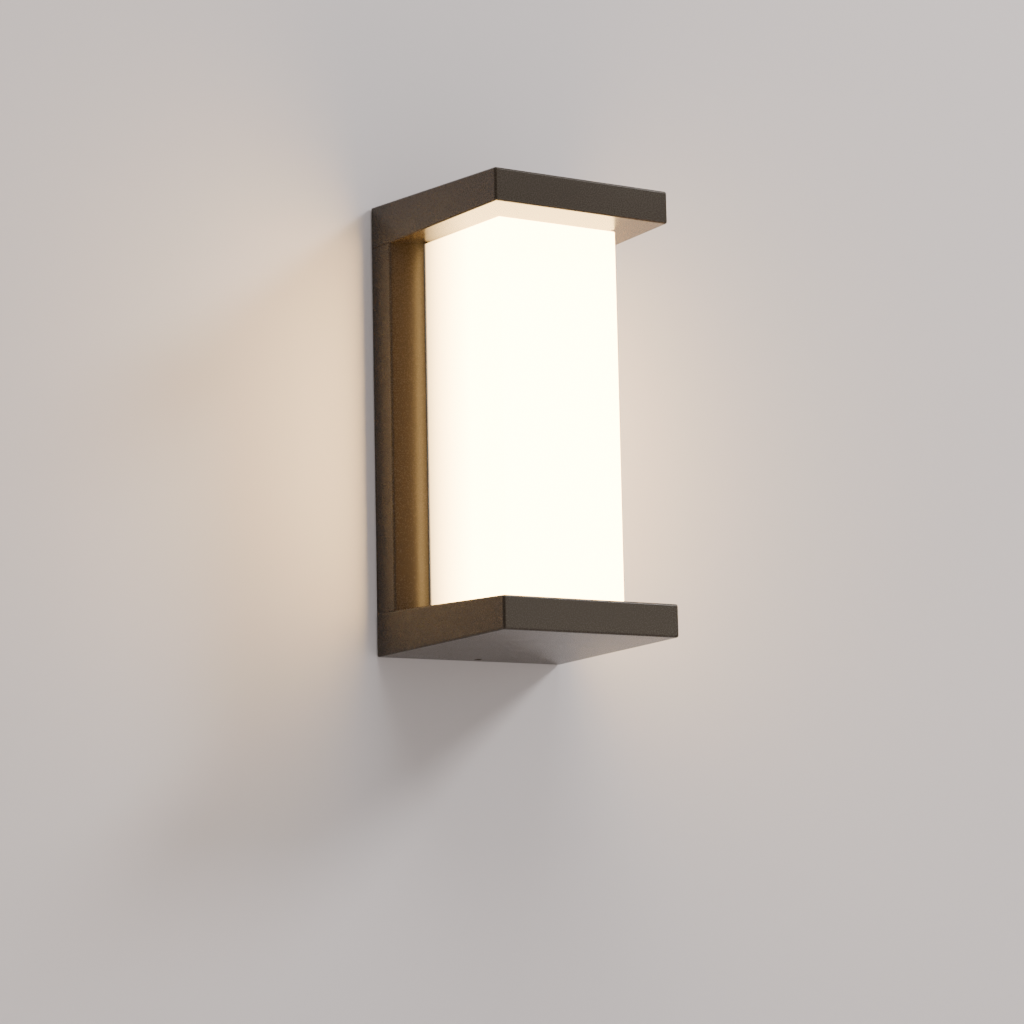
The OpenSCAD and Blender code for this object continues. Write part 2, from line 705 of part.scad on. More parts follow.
// A set screw with a plain point, which sits in the tab's open slot; side is 1 at the top
module lock_screw(side) {
    head_z = half_h(lock_d) - lock_sink;
    point_z = tab_z - bracket_t - lock_point_gap;
    color("#55504a") translate([0, -lock_d, 0]) mirror([0, 0, side > 0 ? 0 : 1]) difference() {
        union() {
            translate([0, 0, tab_z + 0.1]) cylinder(r = lock_r, h = head_z - tab_z - 0.1);
            translate([0, 0, point_z]) cylinder(r = lock_point_r, h = tab_z - point_z + 1);
        }
        translate([0, 0, head_z - lock_socket_h]) cylinder(r = lock_socket_r, h = lock_socket_h + 1, $fn = 6);
    }
}

module lock_screw_top() { lock_screw(1); }
module lock_screw_bottom() { lock_screw(-1); }

housing();
diffuser();
diffuser_seal();
diffuser_screws();
reflector_sheet();
thermal_pad();
led_board();
leds();
led_board_screws();
led_connector();
led_leads();
lead_grommet();
driver_case();
driver_lid();
driver_board();
driver_transformer();
driver_capacitors();
driver_screws();
terminal_block();
terminal_screws();
terminal_block_screw();
mains_leads();
earth_lead();
earth_screw();
cable_clamp();
clamp_screws();
cable_grommet();
rear_cover();
rear_cover_seal();
rear_cover_screws();
wall_foam();
wall_bracket();
lock_screw_top();
lock_screw_bottom();
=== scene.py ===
import math

import bmesh
import bpy
from mathutils import Matrix, Vector


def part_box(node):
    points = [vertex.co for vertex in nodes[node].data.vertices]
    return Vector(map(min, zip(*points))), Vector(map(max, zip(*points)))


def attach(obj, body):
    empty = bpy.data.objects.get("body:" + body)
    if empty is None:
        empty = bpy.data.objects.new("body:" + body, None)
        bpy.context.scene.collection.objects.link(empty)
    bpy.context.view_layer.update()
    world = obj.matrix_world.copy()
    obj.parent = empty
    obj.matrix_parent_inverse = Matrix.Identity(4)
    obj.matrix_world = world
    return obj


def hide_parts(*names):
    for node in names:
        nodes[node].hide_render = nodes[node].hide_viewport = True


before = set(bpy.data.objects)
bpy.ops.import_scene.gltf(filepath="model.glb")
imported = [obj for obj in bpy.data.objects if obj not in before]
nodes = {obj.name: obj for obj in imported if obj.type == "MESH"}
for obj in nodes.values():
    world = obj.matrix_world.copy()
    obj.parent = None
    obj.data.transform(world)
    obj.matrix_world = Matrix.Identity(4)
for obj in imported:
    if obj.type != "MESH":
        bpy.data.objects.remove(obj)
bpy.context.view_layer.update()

# --- Camera ---------------------------------------------------------------------------------------
# A long lens stands low and to the left of the lantern, tilted up a little, so that the underside
# of both arms shows.
camera_yaw = math.radians(33.29)
camera_pitch = math.radians(8.28)
camera_roll = math.radians(-1.18)
camera_distance = 1.6562
camera_lens = 107.04
camera_film_width = 36
aim_across = 0.0045
aim_up = 0.0484
aim_point = Vector((0, -0.055, 0))

camera_forward = Vector((math.sin(camera_yaw) * math.cos(camera_pitch),
                         math.cos(camera_yaw) * math.cos(camera_pitch), math.sin(camera_pitch)))
level_right = Vector((math.cos(camera_yaw), -math.sin(camera_yaw), 0))
level_up = level_right.cross(camera_forward)
camera_right = level_right * math.cos(camera_roll) + level_up * math.sin(camera_roll)
camera_up = camera_right.cross(camera_forward)
camera_place = (aim_point - camera_right * aim_across - camera_up * aim_up
                - camera_forward * camera_distance)
camera_turn = Matrix((camera_right, camera_up, -camera_forward)).transposed()
camera = bpy.data.objects.new("camera", bpy.data.cameras.new("camera"))
camera.data.lens = camera_lens
camera.data.sensor_width = camera_film_width
camera.matrix_world = Matrix.Translation(camera_place) @ camera_turn.to_4x4()
bpy.context.scene.collection.objects.link(camera)
bpy.context.scene.camera = camera


# --- Wall bracket ---------------------------------------------------------------------------------
# A strap of 2 mm steel, punched, folded at both ends and bright zinc plated. Two screws hold it to
# the wall, and its two slotted tabs carry the lantern.
bracket_edge = 0.00035
bracket_shortest = 0.004
zinc_color = (0.5, 0.52, 0.54, 1)


def link_shader(tree, source, target):
    tree.links.new(source, target)


def new_group(name, inputs, outputs):
    """A shader node group with named float inputs and named outputs of the given kinds."""
    group = bpy.data.node_groups.new(name, "ShaderNodeTree")
    for label, value in inputs:
        socket = group.interface.new_socket(label, in_out="INPUT", socket_type="NodeSocketFloat")
        socket.default_value = value
    for label, kind in outputs:
        group.interface.new_socket(label, in_out="OUTPUT", socket_type=kind)
    return group, group.nodes.new("NodeGroupInput"), group.nodes.new("NodeGroupOutput")


def make_surface_grain():
    """Fine grain and slow blotches over a surface: a value, a height and a speck mask."""
    grain_detail, blotch_detail = 3, 4
    speck_core, speck_rim = 0.05, 0.3
    group, into, out = new_group(
        "surface_grain",
        [("Grain Scale", 900), ("Blotch Scale", 40), ("Grain Share", 0.5)],
        [("Value", "NodeSocketFloat"), ("Height", "NodeSocketFloat"), ("Speck", "NodeSocketFloat")])
    place = group.nodes.new("ShaderNodeTexCoord")
    grain = group.nodes.new("ShaderNodeTexNoise")
    grain.inputs["Detail"].default_value = grain_detail
    blotch = group.nodes.new("ShaderNodeTexNoise")
    blotch.inputs["Detail"].default_value = blotch_detail
    speck = group.nodes.new("ShaderNodeTexVoronoi")
    mix = group.nodes.new("ShaderNodeMix")
    speck_range = group.nodes.new("ShaderNodeMapRange")
    speck_range.inputs["From Min"].default_value = speck_core
    speck_range.inputs["From Max"].default_value = speck_rim
    speck_range.inputs["To Min"].default_value = 1
    speck_range.inputs["To Max"].default_value = 0
    for node, scale in ((grain, "Grain Scale"), (blotch, "Blotch Scale"), (speck, "Grain Scale")):
        link_shader(group, place.outputs["Object"], node.inputs["Vector"])
        link_shader(group, into.outputs[scale], node.inputs["Scale"])
    link_shader(group, into.outputs["Grain Share"], mix.inputs["Factor"])
    link_shader(group, blotch.outputs["Fac"], mix.inputs["A"])
    link_shader(group, grain.outputs["Fac"], mix.inputs["B"])
    link_shader(group, mix.outputs["Result"], out.inputs["Value"])
    link_shader(group, grain.outputs["Fac"], out.inputs["Height"])
    link_shader(group, speck.outputs["Distance"], speck_range.inputs["Value"])
    link_shader(group, speck_range.outputs["Result"], out.inputs["Speck"])
    return group


surface_grain = make_surface_grain()


def material(name, color, roughness, metallic=0.0, spread=0.15, grain=900, blotch=40, share=0.4,
             bump=0.05, bump_distance=0.00005, rough_spread=0.12, speck=0.0, ior=1.45):
    """A painted, moulded or plated surface whose colour and roughness vary with the grain group."""
    value_low, value_high = 0.25, 0.75
    fleck_gain, fleck_lift = 2.2, 0.02
    smoothest = 0.02
    made = bpy.data.materials.new(name)
    made.use_nodes = True
    tree = made.node_tree
    shader = tree.nodes["Principled BSDF"]
    shader.inputs["Metallic"].default_value = metallic
    shader.inputs["IOR"].default_value = ior
    grain_node = tree.nodes.new("ShaderNodeGroup")
    grain_node.node_tree = surface_grain
    grain_node.inputs["Grain Scale"].default_value = grain
    grain_node.inputs["Blotch Scale"].default_value = blotch
    grain_node.inputs["Grain Share"].default_value = share
    ramp = tree.nodes.new("ShaderNodeMapRange")
    ramp.inputs["From Min"].default_value = value_low
    ramp.inputs["From Max"].default_value = value_high
    ramp.inputs["To Min"].default_value = 0
    ramp.inputs["To Max"].default_value = 1
    link_shader(tree, grain_node.outputs["Value"], ramp.inputs["Value"])
    blend = tree.nodes.new("ShaderNodeMix")
    blend.data_type = "RGBA"
    blend.inputs["A"].default_value = [c * (1 - spread) for c in color[:3]] + [1]
    blend.inputs["B"].default_value = [min(1, c * (1 + spread)) for c in color[:3]] + [1]
    link_shader(tree, ramp.outputs["Result"], blend.inputs["Factor"])
    color_out = blend.outputs["Result"]
    if speck:
        flecks = tree.nodes.new("ShaderNodeMix")
        flecks.data_type = "RGBA"
        flecks.inputs["B"].default_value = [min(1, c * fleck_gain + fleck_lift)
                                            for c in color[:3]] + [1]
        strength = tree.nodes.new("ShaderNodeMath")
        strength.operation = "MULTIPLY"
        strength.inputs[1].default_value = speck
        link_shader(tree, grain_node.outputs["Speck"], strength.inputs[0])
        link_shader(tree, strength.outputs["Value"], flecks.inputs["Factor"])
        link_shader(tree, color_out, flecks.inputs["A"])
        color_out = flecks.outputs["Result"]
    link_shader(tree, color_out, shader.inputs["Base Color"])
    rough = tree.nodes.new("ShaderNodeMapRange")
    rough.inputs["To Min"].default_value = max(smoothest, roughness - rough_spread)
    rough.inputs["To Max"].default_value = min(1, roughness + rough_spread)
    link_shader(tree, ramp.outputs["Result"], rough.inputs["Value"])
    link_shader(tree, rough.outputs["Result"], shader.inputs["Roughness"])
    relief = tree.nodes.new("ShaderNodeBump")
    relief.inputs["Strength"].default_value = bump
    relief.inputs["Distance"].default_value = bump_distance
    link_shader(tree, grain_node.outputs["Height"], relief.inputs["Height"])
    link_shader(tree, relief.outputs["Normal"], shader.inputs["Normal"])
    return made


merge_distance = 0.000002
flat_angle = math.radians(0.6)
sharp_angle = math.radians(25)


def merged_copy(node):
    """The CAD node's solid as one closed mesh with large flat faces, ready for rounded edges."""
    mesh = bmesh.new()
    mesh.from_mesh(nodes[node].data)
    bmesh.ops.remove_doubles(mesh, verts=mesh.verts, dist=merge_distance)
    bmesh.ops.dissolve_limit(mesh, angle_limit=flat_angle, verts=mesh.verts, edges=mesh.edges)
    bmesh.ops.recalc_face_normals(mesh, faces=mesh.faces)
    return mesh


def long_edges(shortest):
    """A weight of one for each outward corner that is sharp and longer than the shortest edge."""
    def weight(edge):
        sharp = len(edge.link_faces) == 2 and edge.calc_face_angle_signed(0) > sharp_angle
        return 1.0 if sharp and edge.calc_length() > shortest else 0.0
    return weight


def flat_faces(mesh):
    """Keeps large faces flat in the light, so only the narrow rounded strips turn the shading."""
    same_side = 0.6
    around = [[] for vert in mesh.vertices]
    for face in mesh.polygons:
        for index in face.vertices:
            around[index].append((face.normal.copy(), face.area))
    normals = []
    for face in mesh.polygons:
        for index in face.vertices:
            total = Vector()
            for normal, area in around[index]:
                if normal.dot(face.normal) > same_side:
                    total += normal * area
            normals.append(total.normalized() if total.length > 0 else face.normal.copy())
    mesh.normals_split_custom_set(normals)


def rounded_piece(node, body, name, finish, width, weight, segments=3, clamp=True):
    """A copy of a CAD node's solid with its chosen edges rounded, riding on its body."""
    mesh = merged_copy(node)
    layer = mesh.edges.layers.float.new("bevel_weight_edge")
    for edge in mesh.edges:
        edge[layer] = weight(edge)
    for face in mesh.faces:
        face.smooth = True
    data = bpy.data.meshes.new(name)
    mesh.to_mesh(data)
    mesh.free()
    piece = bpy.data.objects.new(name, data)
    bpy.context.scene.collection.objects.link(piece)
    bevel = piece.modifiers.new("rounded_edges", "BEVEL")
    bevel.limit_method = "WEIGHT"
    bevel.width = width
    bevel.segments = segments
    bevel.use_clamp_overlap = clamp
    graph = bpy.context.evaluated_depsgraph_get()
    finished = bpy.data.meshes.new_from_object(piece.evaluated_get(graph))
    piece.modifiers.clear()
    piece.data = finished
    finished.materials.clear()
    finished.materials.append(finish)
    flat_faces(finished)
    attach(piece, body)
    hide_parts(node)


zinc = material("zinc_plate", zinc_color, 0.36, metallic=1.0, spread=0.07, grain=420, blotch=90,
                share=0.5, bump=0.08, rough_spread=0.07)
rounded_piece("wall_bracket", "bracket", "wall_bracket_strap", zinc, bracket_edge,
              long_edges(bracket_shortest))


# --- Housing --------------------------------------------------------------------------------------
# The C-shaped body: one aluminium die casting with leaning sides and rounded edges, shot blasted
# and powder coated in dark bronze. The other pieces are fixed in it or on it.
housing_edge = 0.0013
housing_shortest = 0.004
corner_angle = math.radians(35)
rim_weight = 0.3
rim_shortest = 0.02
rim_depth = 0.0002
squareness = 0.9
front_depth = 0.001
end_depth = 0.006
seat_slope = 0.3
seat_back, seat_front = -0.015, -0.030
seat_reach = 0.02
bronze_color = (0.030, 0.021, 0.012, 1)
housing_low, housing_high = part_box("housing")
arm_clearance = 0.002
arm_inner_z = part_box("diffuser")[1][2] + arm_clearance


def outer_skin(face):
    """True for the faces of the casting that can be seen, false for those of its hollow."""
    n = face.normal
    middle = face.calc_center_median()
    level = abs(n.z) > squareness
    side = abs(n.x) > squareness and n.x * middle.x > 0
    front = n.y < -squareness and middle.y < housing_low[1] + front_depth
    end = level and n.z * middle.z > 0 and abs(middle.z) > housing_high[2] - end_depth
    gap = level and n.z * middle.z < 0 and abs(middle.z) < arm_inner_z
    seat = n.y < -seat_slope and seat_front < middle.y < seat_back and abs(middle.z) < seat_reach
    return side or front or end or gap or seat


def housing_weight(edge):
    """Full rounding where two seen faces meet, and a light one around the back rim."""
    if len(edge.link_faces) != 2 or edge.calc_length() < housing_shortest:
        return 0.0
    if edge.calc_face_angle_signed(0) < corner_angle:
        return 0.0
    seen = [outer_skin(face) for face in edge.link_faces]
    if all(seen):
        return 1.0
    back = max(vert.co.y for vert in edge.verts) > housing_high[1] - rim_depth
    return rim_weight if any(seen) and back and edge.calc_length() > rim_shortest else 0.0


bronze = material("bronze_powder_coat", bronze_color, 0.27, metallic=0.1, spread=0.09, grain=1500,
                  blotch=28, share=0.75, bump=0.06, bump_distance=0.00012, rough_spread=0.03,
                  speck=0.2, ior=1.4)
rounded_piece("housing", "lantern", "housing_casting", bronze, housing_edge, housing_weight,
              segments=4, clamp=False)


# --- Diffuser -------------------------------------------------------------------------------------
# An opal acrylic box, moulded with leaning sides and open at the back. The LEDs behind it make it
# glow evenly, a little weaker along the seam where it meets the seat.
diffuser_edge = 0.0009
diffuser_shortest = 0.02
diffuser_heart = Vector((0, -0.05, 0))
opal_color = (1.0, 0.90, 0.74, 1)
glow_color = (1.0, 0.63, 0.23)
glow_strength = 26.0
seam_glow = 0.12
seam_fade = 0.04
seam_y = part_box("diffuser")[1][1]


def diffuser_weight(edge):
    """Rounds the long outer corners of the box and leaves its inside sharp."""
    if len(edge.link_faces) != 2 or edge.calc_length() < diffuser_shortest:
        return 0.0
    outward = all(face.normal.dot(face.calc_center_median() - diffuser_heart) > 0
                  for face in edge.link_faces)
    return 1.0 if outward and edge.calc_face_angle(0) > sharp_angle else 0.0


def opal_material():
    made = material("opal_acrylic", opal_color, 0.32, spread=0.015, grain=300, blotch=18, share=0.2,
                    bump=0.02, rough_spread=0.04)
    tree = made.node_tree
    shader = tree.nodes["Principled BSDF"]
    place = tree.nodes.new("ShaderNodeTexCoord")
    split = tree.nodes.new("ShaderNodeSeparateXYZ")
    fade = tree.nodes.new("ShaderNodeMapRange")
    fade.inputs["From Min"].default_value = seam_y
    fade.inputs["From Max"].default_value = seam_y - seam_fade
    fade.inputs["To Min"].default_value = seam_glow
    fade.inputs["To Max"].default_value = 1
    blend = tree.nodes.new("ShaderNodeMix")
    blend.data_type = "RGBA"
    blend.inputs["A"].default_value = (0, 0, 0, 1)
    blend.inputs["B"].default_value = (*glow_color, 1)
    link_shader(tree, place.outputs["Object"], split.inputs["Vector"])
    link_shader(tree, split.outputs["Y"], fade.inputs["Value"])
    link_shader(tree, fade.outputs["Result"], blend.inputs["Factor"])
    link_shader(tree, blend.outputs["Result"], shader.inputs["Emission Color"])
    shader.inputs["Emission Strength"].default_value = glow_strength
    return made


opal = opal_material()
rounded_piece("diffuser", "lantern", "diffuser_box", opal, diffuser_edge, diffuser_weight)


# --- Seals, pad, film and foam --------------------------------------------------------------------
# Soft flat pieces, cut or moulded: the silicone seals under the diffuser and the rear cover, the
# heat pad, the white reflector film, and the foam strips that close the back against the wall.
soft_edge = 0.00015
soft_shortest = 0.006
silicone = material("silicone_rubber", (0.55, 0.54, 0.51, 1), 0.6, spread=0.06, grain=500,
                    bump=0.05)
rubber = material("black_rubber", (0.018, 0.018, 0.018, 1), 0.7, spread=0.2, grain=700, bump=0.1)
foam = material("closed_cell_foam", (0.035, 0.034, 0.033, 1), 0.95, spread=0.35, grain=1400,
                share=0.8, bump=0.8, bump_distance=0.0003)
heat_pad = material("heat_pad", (0.26, 0.28, 0.30, 1), 0.8, spread=0.1, grain=900, bump=0.15)
white_film = material("white_film", (0.88, 0.88, 0.87, 1), 0.55, spread=0.02, grain=400, bump=0.02)
for node, finish in (("diffuser_seal", silicone), ("rear_cover_seal", silicone),
                     ("wall_foam", foam), ("thermal_pad", heat_pad),
                     ("reflector_sheet", white_film)):
    rounded_piece(node, "lantern", node + "_cut", finish, soft_edge, long_edges(soft_shortest),
                  segments=2)


# --- Rear cover -----------------------------------------------------------------------------------
# A plate of 1.5 mm steel, powder coated like the body. Six screws hold it in the casting's back,
# over its seal.
cover_edge = 0.0003
cover_shortest = 0.006
cover_coat = material("cover_coat", (0.062, 0.046, 0.034, 1), 0.45, metallic=0.2, spread=0.15,
                      grain=1300, blotch=30, bump=0.2, bump_distance=0.0001, speck=0.2)
rounded_piece("rear_cover", "lantern", "rear_cover_plate", cover_coat, cover_edge,
              long_edges(cover_shortest), segments=2)


# --- Grommets -------------------------------------------------------------------------------------
# Moulded black rubber rings, pushed into their holes: one seals the supply cable in the rear
# cover, one guards the LED leads where they pass the seat.
grommet_edge = 0.00025


def no_edges(edge):
    return 0.0


for node in ("cable_grommet", "lead_grommet"):
    rounded_piece(node, "lantern", node + "_ring", rubber, grommet_edge, no_edges)


# --- LED board ------------------------------------------------------------------------------------
# An aluminium board with a white mask, and on it the LED packages in even rows and a push-in
# connector. Each package is a white plastic block with a round phosphor face.
board_edge, board_shortest = 0.0002, 0.006
connector_edge, connector_shortest = 0.0004, 0.004
package_body_share = 0.8
phosphor_share = 0.2
phosphor_lift = 0.00002
phosphor_width = 0.8
white_mask = material("white_mask", (0.86, 0.86, 0.84, 1), 0.4, spread=0.03, grain=300, bump=0.03)
nylon = material("white_nylon", (0.80, 0.79, 0.75, 1), 0.45, spread=0.04, grain=600, bump=0.06)
phosphor = material("phosphor", (0.95, 0.70, 0.16, 1), 0.35, spread=0.08, grain=2500, bump=0.1)
package_plastic = material("package_plastic", (0.9, 0.9, 0.88, 1), 0.35, spread=0.03, grain=900)
rounded_piece("led_board", "lantern", "led_board_plate", white_mask, board_edge,
              long_edges(board_shortest), segments=2)
rounded_piece("led_connector", "lantern", "led_connector_block", nylon, connector_edge,
              long_edges(connector_shortest), segments=2)


def solids_of(node):
    """The lowest and highest corners of each separate solid in a CAD node."""
    mesh = bmesh.new()
    mesh.from_mesh(nodes[node].data)
    bmesh.ops.remove_doubles(mesh, verts=mesh.verts, dist=merge_distance)
    left = set(mesh.verts)
    boxes = []
    while left:
        stack = [left.pop()]
        found = []
        while stack:
            vert = stack.pop()
            found.append(vert.co.copy())
            for edge in vert.link_edges:
                other = edge.other_vert(vert)
                if other in left:
                    left.remove(other)
                    stack.append(other)
        low = Vector([min(p[i] for p in found) for i in range(3)])
        high = Vector([max(p[i] for p in found) for i in range(3)])
        boxes.append((low, high))
    mesh.free()
    return sorted(boxes, key=lambda b: (round(b[0].x, 4), round(b[0].z, 4)))


def geometry_tree(name, inputs):
    """A geometry node tree with a geometry input and output, and the named inputs given."""
    tree = bpy.data.node_groups.new(name, "GeometryNodeTree")
    tree.interface.new_socket("Geometry", in_out="INPUT", socket_type="NodeSocketGeometry")
    for label, kind in inputs:
        tree.interface.new_socket(label, in_out="INPUT", socket_type=kind)
    tree.interface.new_socket("Geometry", in_out="OUTPUT", socket_type="NodeSocketGeometry")
    return tree, tree.nodes.new("NodeGroupInput"), tree.nodes.new("NodeGroupOutput")


def grow(name, points, tree, values, body, replaced):
    """Runs a geometry node tree on a cloud of points and keeps its result as a plain mesh."""
    data = bpy.data.meshes.new(name + "_points")
    data.from_pydata(points, [], [])
    piece = bpy.data.objects.new(name, data)
    bpy.context.scene.collection.objects.link(piece)
    modifier = piece.modifiers.new(tree.name, "NODES")
    modifier.node_group = tree
    sockets = {item.name: item.identifier for item in tree.interface.items_tree
               if item.item_type == "SOCKET" and item.in_out == "INPUT"}
    for label, value in values.items():
        modifier[sockets[label]] = value
    bpy.context.view_layer.update()
    graph = bpy.context.evaluated_depsgraph_get()
    result = bpy.data.meshes.new_from_object(piece.evaluated_get(graph))
    piece.modifiers.clear()
    piece.data = result
    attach(piece, body)
    if replaced:
        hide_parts(*replaced)
    return piece


def make_package_tree():
    """One plain block or one tapered round pad around each point, facing along -Y."""
    pad_sides = 24
    pad_back, pad_face = 0.5, 0.44
    tree, into, out = geometry_tree("led_packages", [
        ("Across", "NodeSocketFloat"), ("Along", "NodeSocketFloat"), ("Out", "NodeSocketFloat"),
        ("Round", "NodeSocketBool"), ("Finish", "NodeSocketMaterial")])
    size = tree.nodes.new("ShaderNodeCombineXYZ")
    half_out = tree.nodes.new("ShaderNodeMath")
    half_out.operation = "MULTIPLY"
    half_out.inputs[1].default_value = -0.5
    move = tree.nodes.new("ShaderNodeCombineXYZ")
    cube = tree.nodes.new("GeometryNodeMeshCube")
    pad = tree.nodes.new("GeometryNodeMeshCone")
    pad.inputs["Vertices"].default_value = pad_sides
    narrow = tree.nodes.new("ShaderNodeMath")
    narrow.operation = "MULTIPLY"
    narrow.inputs[1].default_value = pad_back
    wide = tree.nodes.new("ShaderNodeMath")
    wide.operation = "MULTIPLY"
    wide.inputs[1].default_value = pad_face
    turn = tree.nodes.new("GeometryNodeTransform")
    turn.inputs["Rotation"].default_value = (math.radians(90), 0, 0)
    choose = tree.nodes.new("GeometryNodeSwitch")
    choose.input_type = "GEOMETRY"
    shift = tree.nodes.new("GeometryNodeTransform")
    place = tree.nodes.new("GeometryNodeInstanceOnPoints")
    real = tree.nodes.new("GeometryNodeRealizeInstances")
    paint = tree.nodes.new("GeometryNodeSetMaterial")
    link = tree.links.new
    link(into.outputs["Across"], size.inputs["X"])
    link(into.outputs["Out"], size.inputs["Y"])
    link(into.outputs["Along"], size.inputs["Z"])
    link(size.outputs["Vector"], cube.inputs["Size"])
    link(into.outputs["Along"], narrow.inputs[0])
    link(into.outputs["Along"], wide.inputs[0])
    link(wide.outputs["Value"], pad.inputs["Radius Top"])
    link(narrow.outputs["Value"], pad.inputs["Radius Bottom"])
    link(into.outputs["Out"], pad.inputs["Depth"])
    link(pad.outputs["Mesh"], turn.inputs["Geometry"])
    link(into.outputs["Round"], choose.inputs["Switch"])
    link(cube.outputs["Mesh"], choose.inputs["False"])
    link(turn.outputs["Geometry"], choose.inputs["True"])
    link(into.outputs["Out"], half_out.inputs[0])
    link(half_out.outputs["Value"], move.inputs["Y"])
    link(choose.outputs["Output"], shift.inputs["Geometry"])
    link(into.outputs["Geometry"], place.inputs["Points"])
    link(shift.outputs["Geometry"], place.inputs["Instance"])
    link(place.outputs["Instances"], real.inputs["Geometry"])
    link(real.outputs["Geometry"], paint.inputs["Geometry"])
    link(into.outputs["Finish"], paint.inputs["Material"])
    link(paint.outputs["Geometry"], out.inputs["Geometry"])
    return tree


package_tree = make_package_tree()
packages = solids_of("leds")
package_size = packages[0][1] - packages[0][0]
package_body_out = package_size.y * package_body_share
package_points = [((low.x + high.x) / 2, high.y - package_body_out / 2, (low.z + high.z) / 2)
                  for low, high in packages]
phosphor_out = package_size.y * phosphor_share
phosphor_points = [(x, high.y - package_body_out - phosphor_out / 2 + phosphor_lift, z)
                   for (x, y, z), (low, high) in zip(package_points, packages)]
grow("led_bodies", package_points, package_tree,
     {"Across": package_size.x, "Along": package_size.z, "Out": package_body_out,
      "Round": False, "Finish": package_plastic}, "lantern", ["leds"])
led_faces = grow("led_faces", phosphor_points, package_tree,
                 {"Across": package_size.x, "Along": package_size.z * phosphor_width,
                  "Out": phosphor_out, "Round": True, "Finish": phosphor}, "lantern", [])


# --- Screws ---------------------------------------------------------------------------------------
# Stainless pan-head screws with a cross recess and a rolled thread. They hold the rear cover, the
# diffuser, the LED board, the driver, the terminal block, the cable clamp and the earth tag.
steel = material("stainless_steel", (0.58, 0.57, 0.55, 1), 0.28, metallic=1.0, spread=0.08,
                 grain=800, bump=0.04, rough_spread=0.08)
brass = material("brass", (0.62, 0.44, 0.16, 1), 0.3, metallic=1.0, spread=0.1, grain=800,
                 bump=0.04)


